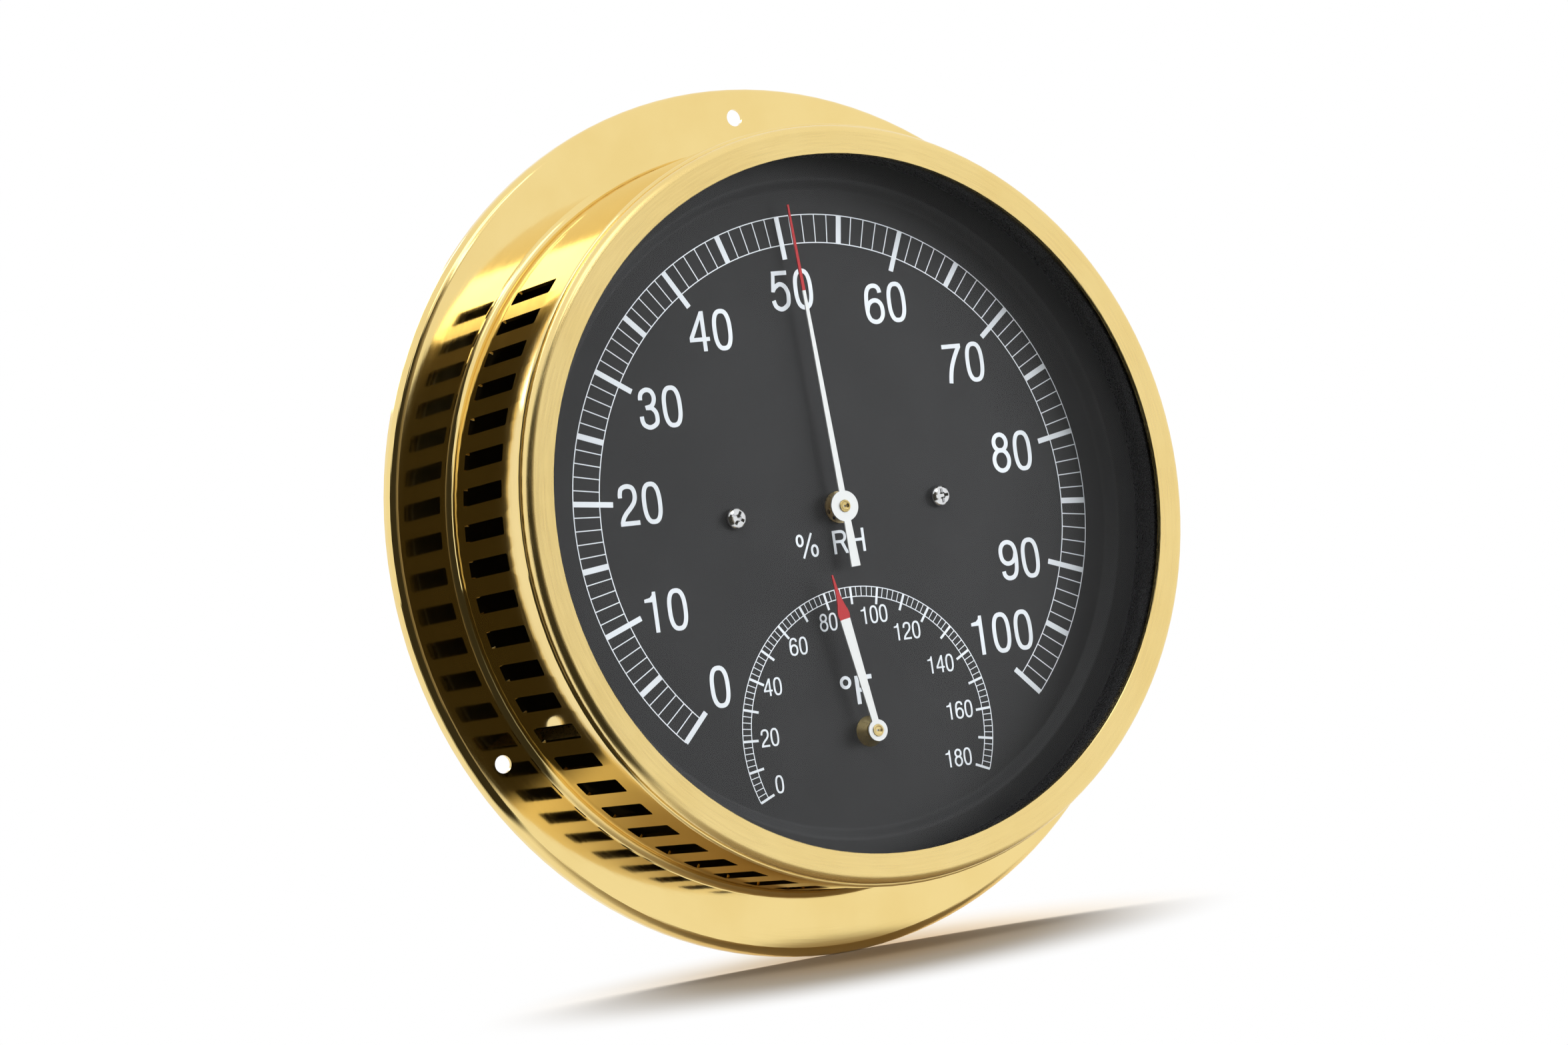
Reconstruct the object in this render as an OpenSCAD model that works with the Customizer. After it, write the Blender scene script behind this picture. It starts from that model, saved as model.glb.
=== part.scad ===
// Wall hygrometer with a small dial thermometer, in a spun brass case.
// Each piece is drawn lying on its back: x right, y towards 12 o'clock, z = height above
// the wall. upright() then stands it up, so the front looks along -Y and the origin is the
// point of the wall behind the middle of the dial.

/* [Case] */
// Height of the bezel's front face above the wall
case_depth = 42; // [38:0.5:50]
// Outer radius of the case wall
wall_r = 92; // [84:0.5:104]
// Thickness of the spun sheet
sheet = 1; // [0.8:0.1:1.2]
// Width of the mounting flange outside the case wall
flange_w = 16; // [14.5:0.5:20]
// Height of the flange's front face above the wall
flange_h = 3.4; // [3:0.1:4.5]
// Radius of the hollow corner between case wall and flange
fillet_r = 2; // [1.2:0.1:2.5]
// Radius of the flange's turned-back edge
rim_r = 2.2; // [1.6:0.1:2.8]
// Distance from the flange's edge in to the circle of wall screws
screw_in = 7.5; // [6.5:0.1:8.5]
// Radius of a wall screw hole
screw_hole_r = 2.15; // [1.8:0.05:2.5]

/* [Air slots] */
// Places round the case, one slot pitch apart
slot_places = 68; // [60:2:76]
// Slots cut, centred on 6 o'clock
slot_count = 50; // [30:2:56]
// Length of a slot along the case
slot_l = 20.6; // [14:0.2:23]
// Width of a slot round the case
slot_w = 4.15; // [3:0.05:4.7]
// Corner radius of a slot
slot_corner = 0.6; // [0.3:0.1:1]
// Distance from the bezel's seam down to the slots' upper ends
slot_drop = 8.7; // [8.2:0.1:10.7]

/* [Bezel and glass] */
// Width of the bezel's front ring
bezel_w = 7.1; // [6.5:0.1:8.2]
// How far the bezel's side stands back from the case wall
bezel_back = 0.7; // [0.5:0.1:0.8]
// Thickness of the bezel's front lip
lip = 1.3; // [1:0.1:1.6]
// Height of the bezel's side, down to the seam with the case
bezel_side = 2.8; // [2.6:0.1:3.6]
// Radius of the bezel's front edge
bezel_round = 1.9; // [1.2:0.1:2]
// Length of the skirt that plugs into the case
skirt_l = 7.7; // [5.7:0.1:8.3]
// Thickness of the front glass
glass_t = 3; // [2:0.1:3.5]

/* [Dial] */
// Depth of the dial's face below the bezel's front
dial_depth = 15.1; // [13.5:0.1:17]
// Thickness of the dial's sheet
dial_t = 0.8; // [0.6:0.1:1]
// Height of the dial's raised outer ring above its face
ring_rise = 2.4; // [1.6:0.1:2.6]
// Width of the dial's raised outer ring
ring_w = 9.9; // [8.5:0.1:12]
// Width of the fold between that ring and the face
fold_w = 3.2; // [2:0.1:4]
// Distance from the middle to each dial screw and its pillar
pillar_x = 29; // [26:0.5:33]
// Radius of a pillar
pillar_r = 3; // [2.6:0.1:3.4]

/* [Hygrometer movement] */
// Distance from the dial's back to the movement plate
plate_gap = 10.9; // [9.8:0.1:12.5]
// Thickness of the movement plate
plate_t = 1.2; // [1:0.1:1.6]
// Module of the sector and pinion teeth
gear_m = 0.5; // [0.45:0.01:0.56]
// Teeth on the pointer's pinion
pinion_teeth = 12; // [11:1:14]
// Teeth that a whole wheel of the sector's size would have
sector_teeth = 120; // [108:2:134]
// Distance from the sector's pivot to the hair
hair_arm = 5; // [4.5:0.1:5.8]
// Radius of one strand of hair in the bundle
strand_r = 0.2; // [0.12:0.01:0.24]
// Room between the calibration screw's head and the case wall
adjust_room = 8.5; // [6:0.1:12]
// Rest place of the humidity pointer, clockwise from 12 o'clock
humidity_rest = -3.2; // [-20:0.1:20]
// Room between the humidity pointer's tip and the dial's fold
pointer_room = 3.3; // [2:0.1:10]
// Length of its tail
tail_l = 14.8; // [10:0.1:17]
// Radius of its hub disc
hub_r = 3.75; // [3:0.05:4.2]

/* [Thermometer] */
// Distance from the middle of the dial down to the thermometer's arbor
thermo_drop = 54.7; // [49:0.1:61]
// Length of the thermometer pointer
thermo_l = 39; // [34:0.1:43]
// Rest place of the thermometer pointer, clockwise from 12 o'clock
thermo_rest = -10; // [-40:0.1:40]
// Turns of the bimetal coil
coil_turns = 5; // [4:1:6]
// Outer radius of the bimetal coil
coil_r = 11; // [9.8:0.1:12.4]
// Width of the bimetal strip
strip_w = 4; // [3:0.1:4.6]
// Thickness of the bimetal strip
strip_t = 0.45; // [0.3:0.05:0.55]

/* [Fits] */
// Radial clearance of a turning fit
run_fit = 0.04; // [0.02:0.01:0.08]
// Radial clearance of a screw or post in its hole
seat_fit = 0.05; // [0.03:0.01:0.1]
// Room left between moving pieces that don't touch
air = 0.3; // [0.2:0.05:0.4]

/* [Hidden] */
big = 180;
small = 48;
past = 1;

// Heights above the wall
bezel_seam = case_depth - bezel_side;
skirt_end = bezel_seam - skirt_l;
glass_top = case_depth - lip - seat_fit;
glass_base = glass_top - glass_t;
dial_face = case_depth - dial_depth;
dial_back = dial_face - dial_t;
ring_face = dial_face + ring_rise;
ring_back = ring_face - dial_t;
plate_top = dial_back - plate_gap;
plate_back = plate_top - plate_t;
slot_h = bezel_seam - slot_drop - slot_l / 2;

// Radii of the case and of what sits in it
case_bore = wall_r - sheet;
flange_r = wall_r + flange_w;
screw_at = flange_r - screw_in;
case_edge = 0.6;
bezel_r = wall_r - bezel_back;
bezel_bore = bezel_r - bezel_w;
bezel_inner_edge = 0.15;
bezel_outer_edge = 0.1;
skirt_r = case_bore - seat_fit;
skirt_t = 1.05;
glass_seat_r = skirt_r - skirt_t;
glass_r = glass_seat_r - air;
glass_edge = 0.4;
gasket_r = bezel_bore + 1.6;
gasket_bulge = 1.1;
dial_r = case_bore - 0.4;
fold_out = dial_r - ring_w;
fold_r = fold_out - fold_w;

// Rear cover, its screws and the lugs on the lands between the slots
slot_pitch = 360 / slot_places;
cover_t = 0.9;
cover_edge = 0.4;
cover_r = screw_at - screw_hole_r - 2.35;
cover_screw_r = 1.2;
cover_screw_l = 7.5;
cover_head_r = 2.3;
cover_head_t = 0.8;
cover_screw_at = case_bore - 2.8;
lug_depth = 5.5;
lug_w = 2 * PI * wall_r / slot_places - slot_w - 0.2;
lug_angles = [0, 180 - 11 * slot_pitch, 180 + 11 * slot_pitch];
lug_hole = 9;

// Dial and plate screws
screw_r = 1.45;
screw_grip = 4;
dial_head_r = 2.6;
dial_head_t = 1.7;
dial_cross_l = 3.5;
dial_cross_w = 0.75;
dial_cross_r = 0.9;
dial_cross_turns = [-30, 5];
dial_cross_depth = 1;
plate_head_r = 2.5;
plate_head_t = 1.5;
driver_slot = 0.6;

// Teeth: pitch radii, distance between the arbors and how thin the teeth are cut
pressure = 20;
pinion_r = gear_m * pinion_teeth / 2;
sector_r = gear_m * sector_teeth / 2;
arbor_gap = pinion_r + sector_r;
backlash = 0.09;
pinion_tip = pinion_r + 0.9 * gear_m;
pinion_root = pinion_r - 1.15 * gear_m;
sector_tip = sector_r + 0.75 * gear_m;
sector_root = sector_r - 1.2 * gear_m;

// Sector: swing, place of its pivot, spokes and stops
pointer_sweep = 139;
sector_swing = pointer_sweep * pinion_teeth / sector_teeth;
sector_cut = 2 * floor(pointer_sweep * pinion_teeth / 360 + 1.5) + 1;
sector_half = sector_cut * 180 / sector_teeth;
sector_dir = 135;
sector_x = arbor_gap * cos(sector_dir);
sector_y = arbor_gap * sin(sector_dir);
sector_t = 1.2;
sector_h = plate_top + 2.2;
sector_rim = 2.4;
sector_hub_r = 3.2;
sector_hub_l = 5.35;
sector_post_r = 1.5;
spoke_w = 3;
spoke_turn = 14;
spoke_end = sector_root - spoke_w / 2 - 0.1;
weight_at = 9;
weight_r = 4;
weight_bar = 5;
clip_h = plate_top + air + sector_hub_l + air;
clip_t = 0.4;
clip_r = sector_post_r + 0.8;
clip_depth = 0.3;
clip_mouth = 1.8;
post_top = clip_h + clip_t + 0.65;
pin_r = 0.8;
stop_at = 20;
stop_over = 1;
stop_turn = spoke_turn + sector_swing + asin((spoke_w / 2 + pin_r + air) / stop_at);

// Pointer arbor, its pinion and hairspring
arbor_r = 1;
pivot_r = 0.7;
pivot_out = 0.5;
end_shake = 0.2;
seat_r = 0.8;
pinion_h = sector_h - 0.8;
pinion_l = sector_t + 1.6;
pointer_t = 0.4;
pointer_h = dial_face + 2.7;
pointer_w = 1.7;
pointer_tip_w = 0.5;
pointer_tail_w = 2.5;
pointer_l = fold_r - pointer_room;
shoulder_r = 1.7;
shoulder_t = 1.3;
rivet_r = 1.5;
rivet_out = 0.25;
rivet_edge = 0.12;
dish_r = 1.1;
dish_depth = 0.42;
dish_end = 75;
bush_flange_r = 3.9;
bush_flange_t = 0.5;
bush_holes_at = 3.1;
bush_holes = [[15, 0.7], [195, 0.7], [232, 0.45]];
bush_barrel_r = 2.6;
nut_t = 1.9;
bush_nut_r = 4.6;
spring_h = pinion_h + pinion_l + 1;
spring_w = 0.7;
spring_t = 0.2;
spring_gap = 0.2;
spring_turns = 4;
spring_out = 8.6;
spring_collet_r = 2;
spring_collet_over = 0.4;
stud_r = 1;
stud_foot_r = 0.7;
stud_over = 1.4;

// Hair, its clips and the screw that sets it
hair_x = sector_x + hair_arm;
hair_over = 5;
hair_h = sector_h + hair_over;
hair_grip = 1.6;
hair_clip_r = 1.35;
hair_clip_bore = 3 * strand_r + 0.3;
hook_disc_r = 2;
hook_disc_t = 3;
hook_clip_l = 6;
hook_over = 0.4;
adjust_beside = 4.6;
adjust_x = hair_x - adjust_beside;
adjust_under = 1.8;
adjust_h = hair_h - adjust_under;
adjust_r = 1.5;
adjust_travel = 0.5;
adjust_head_r = 2.8;
adjust_head_t = 2.2;
adjust_collar_r = 2.3;
adjust_collar_t = 1.2;
adjust_slot_w = 0.7;
adjust_slot_depth = 0.9;
adjust_low = adjust_room - sqrt(pow(case_bore, 2) - pow(abs(adjust_x) + adjust_head_r, 2));
tab_t = 1.2;
tab_l = 9.4;
tab_w = 6;
tab_low = adjust_low + adjust_head_t + air;
anchor_l = 5.2;
anchor_w = 3.4;
anchor_edge = 1.8;
anchor_up = 1.9;
anchor_down = 5.3;
anchor_clip_l = 3.6;
anchor_low = tab_low + tab_t + air + adjust_travel;
anchor_top = anchor_low + anchor_l;
tab_top = anchor_top + adjust_travel + air + tab_t;
hair_low = anchor_top + anchor_clip_l - hair_grip;
hair_l = sector_y - hook_clip_l + hair_grip - hair_low;
foot_w = 8.8;
foot_screw_r = 1;
foot_head_r = 1.9;
foot_head_t = 1.1;
foot_screw_places = [tab_top - 2.5, tab_low + 2.5];

// Movement plate
plate_bar = 14;
plate_arm = 12;
plate_stop_arm = 8;
leg_x = adjust_x - 1;
leg_low = tab_low - 1;

// Thermometer
thermo_arbor_r = 0.8;
thermo_pivot_r = 0.5;
thermo_gap = 0.5;
thermo_h = pointer_h + pointer_t + thermo_gap;
thermo_hub_r = 2.6;
thermo_shoulder_r = 1.9;
thermo_rivet_out = 0.2;
thermo_barrel_r = 3;
thermo_nut_r = 5;
cone_base_r = 3.75;
cone_top_r = 2.3;
cone_h = 2.5;
leaf_t = 1.2;
leaf_w = 8;
front_leaf_end = 11;
bracket_depth = 15.5;
bracket_x = coil_r + 2;
bracket_back = dial_back - bracket_depth;
coil_h = bracket_back + leaf_t + 2;
coil_gap = 0.15;
coil_clamp_r = 2;
coil_clamp_over = 0.5;

// Lays a piece drawn on its back upright
module upright() rotate([90, 0, 0]) children();

// Puts a piece on the thermometer's axis
module at_thermometer() translate([0, -thermo_drop, 0]) children();

// Puts a piece on the sector's pivot, x pointing along the line to the pinion
module at_sector() translate([sector_x, sector_y, 0]) rotate(sector_dir + 180) children();

// Puts a piece on the calibration screw's line, z pointing to 12 o'clock
module at_adjuster() translate([adjust_x, 0, adjust_h]) rotate([-90, 0, 0]) children();

// The same on the hair's line
module at_hair() translate([hair_x, 0, hair_h]) rotate([-90, 0, 0]) children();

// Rod from height a to height b, and a hole that cuts past both
module rod(r, a, b) translate([0, 0, a]) cylinder(r = r, h = b - a, $fn = small);
module hole(r, a, b) rod(r, a - past, b + past);

function at(r, turn) = r * [cos(turn), sin(turn)];
function reversed(v) = [for (i = [len(v) - 1:-1:0]) v[i]];
function arc(cx, cy, r, from, to, steps = 12) =
    [for (i = [0:steps]) [cx, cy] + at(r, from + (to - from) * i / steps)];

// Bar with round ends, from p to q
module bar(p, q, w) {
    d = q - p;
    translate(p) rotate(atan2(d[1], d[0])) translate([0, -w / 2]) square([norm(d), w]);
    for (c = [p, q]) translate(c) circle(d = w, $fn = small);
}

module rounded_slot(l, w, r) {
    square([l - 2 * r, w], center = true);
    square([l, w - 2 * r], center = true);
    for (x = [-1, 1], y = [-1, 1])
        translate([x * (l / 2 - r), y * (w / 2 - r)]) circle(r, $fn = 24);
}

// Low domed screw head with its face down at z = 0
module domed_head(r, t) rotate_extrude($fn = small) polygon(concat([[0, 0], [r, 0]],
    [for (a = [0:15:90]) [r * (0.55 + 0.45 * cos(a)), t * (0.4 + 0.6 * sin(a))]], [[0, t]]));

// Straight driver slot that cuts down from z = 0
module slot_cut(r, depth)
    translate([-r - past, -driver_slot / 2, -depth]) cube([2 * (r + past), driver_slot, depth + past]);

module cross_cut(l, w, depth) for (a = [0, 90]) rotate(a)
    translate([-l / 2, -w / 2, -depth]) cube([l, w, depth + past]);

// Involute of a base circle, and the half width of a tooth in degrees at radius r
function roll(r, base) = sqrt(max(0, pow(r / base, 2) - 1));
function spread(r, base) = roll(r, base) * 180 / PI - atan(roll(r, base));
function half_tooth(r, pitch_r, teeth) =
    let (base = pitch_r * cos(pressure))
    90 / teeth - backlash / pitch_r * 90 / PI
        + spread(pitch_r, base) - spread(max(r, base), base);
function tooth(turn, pitch_r, teeth, root, tip, steps = 4) =
    let (low = max(root, pitch_r * cos(pressure)),
        foot = half_tooth(low, pitch_r, teeth),
        flank = [for (i = [0:steps]) low + (tip - low) * i / steps])
    concat([at(root, turn - foot)],
        [for (r = flank) at(r, turn - half_tooth(r, pitch_r, teeth))],
        [for (r = reversed(flank)) at(r, turn + half_tooth(r, pitch_r, teeth))],
        [at(root, turn + foot)]);

// Flat spiral strip from r_in to r_out that ends on the x axis
function spiral_edge(r_in, r_out, turns, steps) =
    [for (i = [0:steps * turns]) let (t = i / (steps * turns))
        at(r_in + (r_out - r_in) * t, 360 * turns * (t - 1))];
module spiral_strip(r_in, r_out, turns, t, steps = 20)
    polygon(concat(spiral_edge(r_in + t, r_out, turns, steps),
        reversed(spiral_edge(r_in, r_out - t, turns, steps))));

// Case

module case_shell() color("gold") upright() difference() {
    rotate_extrude($fn = big) polygon(concat(
        [[case_bore, bezel_seam]],
        arc(wall_r - case_edge, bezel_seam - case_edge, case_edge, 90, 0, 4),
        arc(wall_r + fillet_r, flange_h + fillet_r, fillet_r, 180, 270),
        arc(flange_r - rim_r, flange_h - rim_r, rim_r, 90, 0),
        [[flange_r, 0], [flange_r - sheet, 0]],
        arc(flange_r - rim_r, flange_h - rim_r, rim_r - sheet, 0, 90, 8),
        arc(wall_r + fillet_r, flange_h + fillet_r, fillet_r + sheet, 270, 180)));
    for (i = [0:slot_count - 1])
        rotate(-90 + (i - (slot_count - 1) / 2) * slot_pitch)
            translate([case_bore - past, 0, slot_h]) rotate([0, 90, 0])
                linear_extrude(sheet + 2 * past) rounded_slot(slot_l, slot_w, slot_corner);
    for (i = [0:2]) rotate(90 + 120 * i) translate([screw_at, 0, 0])
        hole(screw_hole_r, 0, flange_h);
}

module dial_lugs() color("goldenrod") upright() for (a = lug_angles) rotate(90 - a)
    difference() {
        intersection() {
            translate([case_bore - lug_depth, -lug_w / 2, cover_t])
                cube([lug_depth + past, lug_w, ring_back - cover_t]);
            cylinder(r = case_bore, h = case_depth, $fn = big);
        }
        translate([cover_screw_at, 0, 0]) rod(cover_screw_r + seat_fit, 0, lug_hole);
    }

module rear_cover() color("goldenrod") upright() difference() {
    rotate_extrude($fn = big) polygon([[0, 0], [cover_r - cover_edge, 0], [cover_r, cover_edge],
        [cover_r, flange_h - sheet], [cover_r - cover_t, flange_h - sheet],
        [cover_r - cover_t, cover_t], [0, cover_t]]);
    for (a = lug_angles) rotate(90 - a) translate([cover_screw_at, 0, 0]) {
        hole(cover_screw_r + seat_fit, 0, cover_t);
        cylinder(r1 = cover_head_r + seat_fit, r2 = cover_screw_r + seat_fit,
            h = cover_head_t, $fn = small);
    }
}

module rear_cover_screws() color("silver") upright() for (a = lug_angles)
    rotate(90 - a) translate([cover_screw_at, 0, 0]) difference() {
        union() {
            cylinder(r1 = cover_head_r, r2 = cover_screw_r, h = cover_head_t, $fn = small);
            rod(cover_screw_r, 0, cover_screw_l);
        }
        mirror([0, 0, 1]) slot_cut(cover_head_r, cover_head_t / 2);
    }

// Bezel and glass

module bezel() color("gold") upright() rotate_extrude($fn = big) polygon(concat(
    [[bezel_bore, case_depth - lip], [bezel_bore, case_depth - bezel_inner_edge],
        [bezel_bore + bezel_inner_edge, case_depth]],
    arc(bezel_r - bezel_round, case_depth - bezel_round, bezel_round, 90, 0),
    [[bezel_r, bezel_seam + bezel_outer_edge], [bezel_r - bezel_outer_edge, bezel_seam],
        [skirt_r, bezel_seam], [skirt_r, skirt_end], [glass_seat_r, skirt_end],
        [glass_seat_r, case_depth - lip]]));

module front_glass() color("lightcyan", 0.4) upright() rotate_extrude($fn = big)
    polygon([[0, glass_base], [glass_r - glass_edge, glass_base],
        [glass_r, glass_base + glass_edge], [glass_r, glass_top - glass_edge],
        [glass_r - glass_edge, glass_top], [0, glass_top]]);

module gasket() color("dimgray") upright() rotate_extrude($fn = big) polygon(concat(
    [[glass_r, glass_base], [glass_r, ring_face]],
    [for (i = [0:12]) [gasket_r - gasket_bulge * sin(15 * i),
        ring_face + (glass_base - ring_face) * i / 12]]));

// Dial

function fold(shift) = [for (i = [0:10]) [fold_r + fold_w * i / 10,
    dial_face + ring_rise * (1 - cos(18 * i)) / 2 + shift]];

module dial_plate() color("dimgray") upright() difference() {
    rotate_extrude($fn = big) polygon(concat([[0, dial_back], [0, dial_face]], fold(0),
        [[dial_r, ring_face], [dial_r, ring_back]], reversed(fold(-dial_t))));
    hole(bush_barrel_r + seat_fit, dial_back, dial_face);
    at_thermometer() hole(thermo_barrel_r + seat_fit, dial_back, dial_face);
    for (x = [-1, 1]) translate([x * pillar_x, 0, 0])
        hole(screw_r + seat_fit, dial_back, dial_face);
}

module dial_screws() color("silver") upright() for (i = [0, 1])
    translate([(2 * i - 1) * pillar_x, 0, dial_face]) difference() {
        union() {
            domed_head(dial_head_r, dial_head_t);
            rod(screw_r, -dial_t - screw_grip, 0);
        }
        translate([0, 0, dial_head_t]) rotate(dial_cross_turns[i])
            cross_cut(dial_cross_l, dial_cross_w, dial_cross_depth);
        translate([0, 0, dial_head_t - dial_cross_depth])
            cylinder(r1 = dial_cross_w / 2, r2 = dial_cross_r, h = dial_cross_depth, $fn = 24);
    }

module pillars() color("tan") upright() for (x = [-1, 1])
    translate([x * pillar_x, 0, 0]) difference() {
        rod(pillar_r, plate_top, dial_back);
        rod(screw_r + seat_fit, plate_top - past, plate_top + screw_grip + air);
        rod(screw_r + seat_fit, dial_back - screw_grip - air, dial_back + past);
    }

// Hygrometer movement

function stop_place(side) = [sector_x, sector_y] + at(stop_at, sector_dir + 180 + side * stop_turn);

module movement_plate() color("silver") upright() translate([0, 0, plate_back])
    linear_extrude(plate_t) difference() {
        union() {
            bar([-pillar_x, 0], [pillar_x, 0], plate_bar);
            bar([sector_x, sector_y], [sector_x, 0], plate_arm);
            bar([sector_x, sector_y], stop_place(1), plate_stop_arm);
            bar([leg_x, 0], [leg_x, leg_low + plate_arm / 2], plate_arm);
        }
        circle(pivot_r + run_fit, $fn = small);
        for (x = [-1, 1]) translate([x * pillar_x, 0]) circle(screw_r + seat_fit, $fn = small);
        translate([sector_x, sector_y]) circle(sector_post_r + seat_fit, $fn = small);
        translate([spring_out + stud_r, 0]) circle(stud_foot_r + seat_fit, $fn = small);
        for (s = [-1, 1]) translate(stop_place(s)) circle(pin_r + seat_fit, $fn = small);
        for (y = foot_screw_places) translate([leg_x, y])
            circle(foot_screw_r + seat_fit, $fn = small);
    }

module plate_screws() color("silver") upright() for (x = [-1, 1])
    translate([x * pillar_x, 0, plate_back]) mirror([0, 0, 1]) difference() {
        union() {
            domed_head(plate_head_r, plate_head_t);
            rod(screw_r, -plate_t - screw_grip, 0);
        }
        translate([0, 0, plate_head_t]) slot_cut(plate_head_r, plate_head_t / 2);
    }

module pointer_bush() color("goldenrod") upright() difference() {
    union() {
        rod(bush_flange_r, dial_face, dial_face + bush_flange_t);
        rod(bush_barrel_r, dial_back - nut_t, dial_face);
    }
    hole(arbor_r + run_fit, dial_back - nut_t, dial_face + bush_flange_t);
    for (h = bush_holes) rotate(h[0]) translate([bush_holes_at, 0, dial_face])
        cylinder(r = h[1], h = bush_flange_t + past, $fn = 24);
}

module bush_nuts() color("goldenrod") upright() {
    translate([0, 0, dial_back - nut_t]) difference() {
        cylinder(r = bush_nut_r, h = nut_t, $fn = 6);
        hole(bush_barrel_r + seat_fit, 0, nut_t);
    }
    at_thermometer() translate([0, 0, dial_back - leaf_t - nut_t]) difference() {
        cylinder(r = thermo_nut_r, h = nut_t, $fn = 6);
        hole(thermo_barrel_r + seat_fit, 0, nut_t);
    }
}

module pointer_arbor() color("silver") upright() {
    rod(pivot_r, plate_back - pivot_out, plate_top + end_shake);
    rod(arbor_r, plate_top + end_shake, pointer_h - shoulder_t);
    rod(seat_r, pointer_h - shoulder_t, pointer_h);
    translate([0, 0, pinion_h]) linear_extrude(pinion_l)
        polygon([for (i = [0:pinion_teeth - 1])
            each tooth(sector_dir + (i + 0.5) * 360 / pinion_teeth, pinion_r, pinion_teeth,
                pinion_root, pinion_tip)]);
}

// Hub pin of a pointer at height h, over its arbor's end, with a dished front
module hub_pin(seat, shoulder, low, h, top) rotate_extrude($fn = small) polygon(concat(
    [[seat, low], [shoulder, low], [shoulder, h], [rivet_r, h], [rivet_r, top - rivet_edge],
        [rivet_r - rivet_edge, top]],
    [for (a = [0:15:dish_end]) [dish_r * cos(a), top - dish_depth * sin(a)]],
    [[dish_r * cos(dish_end), h], [seat, h]]));

module pointer_collet() color("gold") upright()
    hub_pin(seat_r, shoulder_r, pointer_h - shoulder_t, pointer_h, pointer_h + pointer_t + rivet_out);

module humidity_pointer() color("white") upright() translate([0, 0, pointer_h])
    rotate(-humidity_rest) linear_extrude(pointer_t) difference() {
        union() {
            circle(hub_r, $fn = small);
            polygon([[pointer_w / 2, 0], [pointer_tip_w / 2, pointer_l],
                [-pointer_tip_w / 2, pointer_l], [-pointer_w / 2, 0],
                [-pointer_tail_w / 2, -tail_l], [pointer_tail_w / 2, -tail_l]]);
        }
        circle(rivet_r, $fn = small);
    }

module hairspring_collet() color("gold") upright() difference() {
    rod(spring_collet_r, spring_h - spring_collet_over, spring_h + spring_w + spring_collet_over);
    hole(arbor_r, spring_h - spring_collet_over, spring_h + spring_w + spring_collet_over);
}

module hairspring() color("steelblue") upright() translate([0, 0, spring_h])
    linear_extrude(spring_w)
        spiral_strip(spring_collet_r + spring_gap, spring_out, spring_turns, spring_t);

module hairspring_stud() color("goldenrod") upright() translate([spring_out + stud_r, 0, 0]) {
    rod(stud_foot_r, plate_back, plate_top);
    rod(stud_r, plate_top, spring_h + stud_over);
}

module sector_post() color("silver") upright() translate([sector_x, sector_y, 0])
    difference() {
        rod(sector_post_r, plate_back, post_top);
        difference() {
            rod(sector_post_r + past, clip_h - seat_fit, clip_h + clip_t + seat_fit);
            rod(sector_post_r - clip_depth, clip_h - seat_fit, clip_h + clip_t + seat_fit);
        }
    }

module sector_clip() color("dimgray") upright()
    translate([sector_x, sector_y, clip_h]) linear_extrude(clip_t) difference() {
        circle(clip_r, $fn = small);
        circle(sector_post_r - clip_depth + seat_fit, $fn = small);
        translate([0, -clip_mouth / 2]) square([clip_r + past, clip_mouth]);
    }

module sector_lever() color("goldenrod") upright() at_sector() difference() {
    union() {
        rod(sector_hub_r, plate_top + air, plate_top + air + sector_hub_l);
        translate([0, 0, sector_h]) linear_extrude(sector_t) {
            polygon(concat(
                [for (i = [0:sector_cut - 1])
                    each tooth((i - (sector_cut - 1) / 2) * 360 / sector_teeth,
                        sector_r, sector_teeth, sector_root, sector_tip)],
                arc(0, 0, sector_root - sector_rim, sector_half, -sector_half)));
            for (a = [-1, 1])
                bar([0, 0], at(spoke_end, spoke_turn * a), spoke_w);
            rotate(-sector_dir - 180) bar([0, 0], [hair_arm, 0], spoke_w);
            bar([0, 0], [-weight_at, 0], weight_bar);
            translate([-weight_at, 0]) circle(weight_r, $fn = small);
        }
    }
    hole(sector_post_r + run_fit, plate_top, plate_top + air + sector_hub_l);
    rotate(-sector_dir - 180) translate([hair_arm, 0, 0])
        hole(pin_r, sector_h, sector_h + sector_t);
}

module stop_pins() color("silver") upright() for (s = [-1, 1])
    translate(stop_place(s)) rod(pin_r, plate_back, sector_h + sector_t + stop_over);

// The hook pin with the clip that grips the upper end of the hair
module hair_hook() color("gold") upright() {
    translate([hair_x, sector_y, 0])
        rod(pin_r, sector_h, hair_h + hook_disc_t / 2 + hook_over);
    difference() {
        union() {
            translate([hair_x, sector_y, 0])
                rod(hook_disc_r, hair_h - hook_disc_t / 2, hair_h + hook_disc_t / 2);
            at_hair() rod(hair_clip_r, sector_y - hook_clip_l, sector_y);
        }
        at_hair() rod(hair_clip_bore, sector_y - hook_clip_l - past,
            sector_y - hook_clip_l + hair_grip + seat_fit);
    }
}

module hair_bundle() color("saddlebrown") upright() at_hair() {
    translate([0, 0, hair_low]) cylinder(r = strand_r, h = hair_l, $fn = 24);
    for (i = [0:5]) rotate(60 * i) translate([2.3 * strand_r, 0, hair_low])
        cylinder(r = strand_r, h = hair_l, $fn = 24);
}

module hair_anchor() color("goldenrod") upright() difference() {
    union() {
        translate([adjust_x - anchor_w, anchor_low, hair_h - anchor_down])
            cube([hair_x + anchor_edge - adjust_x + anchor_w, anchor_l, anchor_up + anchor_down]);
        at_hair() rod(hair_clip_r, anchor_top - past, anchor_top + anchor_clip_l);
    }
    at_adjuster() hole(adjust_r + run_fit, anchor_low, anchor_top);
    at_hair() rod(hair_clip_bore, hair_low - adjust_travel - air, hair_low + hair_grip + past);
}

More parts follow.
